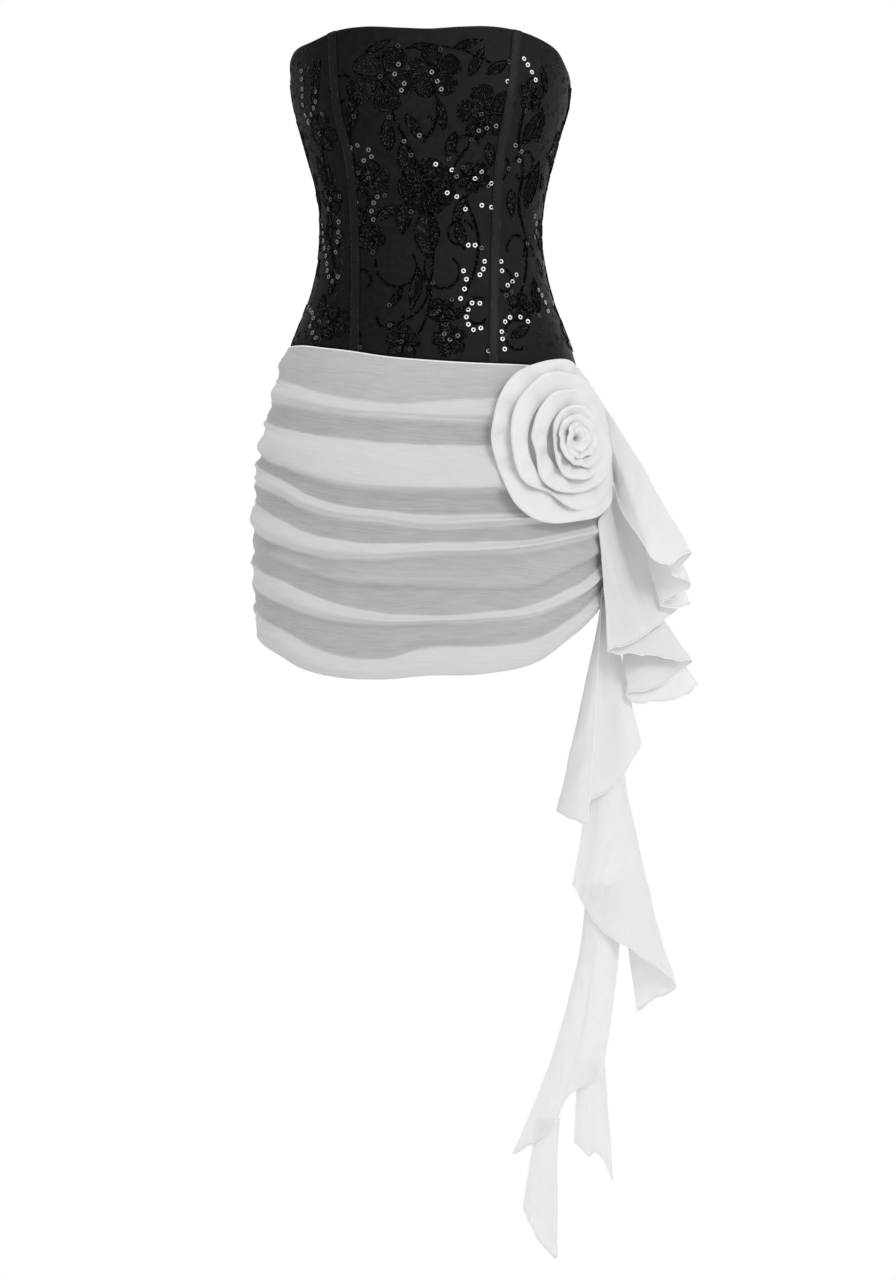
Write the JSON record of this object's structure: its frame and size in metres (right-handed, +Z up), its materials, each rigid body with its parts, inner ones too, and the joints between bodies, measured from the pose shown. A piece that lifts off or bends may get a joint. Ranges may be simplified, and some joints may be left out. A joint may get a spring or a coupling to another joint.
{
  "type": "corset dress",
  "caption": "Strapless corset dress with a ruched skirt, a fabric rosette at the left hip and a trailing cascade of folds.",
  "frame": {"origin": "middle of the waist, where a wearer or a dress form holds the dress", "axes": "+Z up the body, -Y to the front, +X to the wearer's left"},
  "size_m": [0.4654, 0.2723, 1.2913],
  "materials": {
    "corset": "black embroidered cloth with dark sequins",
    "channel": "black boning channel",
    "chiffon": "crinkled white chiffon",
    "underskirt": "matt pale grey lining cloth",
    "tape": "black zip tape",
    "metal": "dark enamel"
  },
  "bodies": {
    "dress": {"bodice_front": "corset", "bodice_side_front_left": "corset", "bodice_side_front_right": "corset", "bodice_side_back_left": "corset", "bodice_side_back_right": "corset", "bodice_back_left": "corset", "bodice_back_right": "corset", "channel_left": "channel", "channel_right": "channel", "zip_tape": "tape", "zip_slider": "metal", "underskirt_front": "underskirt", "underskirt_back": "underskirt", "overskirt_front": "chiffon", "overskirt_back": "chiffon", "rosette_backing": "chiffon", "rosette_wraps": "chiffon", "rosette_collar": "chiffon", "flounce_upper": "chiffon", "flounce_middle": "chiffon", "cascade_front": "chiffon", "cascade_back": "chiffon", "streamer": "chiffon", "tail_left": "chiffon", "tail_right": "chiffon"},
    "pull_tab": {"zip_tab": "metal"}
  },
  "joints": [
    {"name": "tab_hinge", "type": "hinge", "parent": "dress", "child": "pull_tab", "pos_m": [0, 0.09761, 0.13464], "axis": [1, 0, 0], "range_deg": [0, 150]}
  ]
}
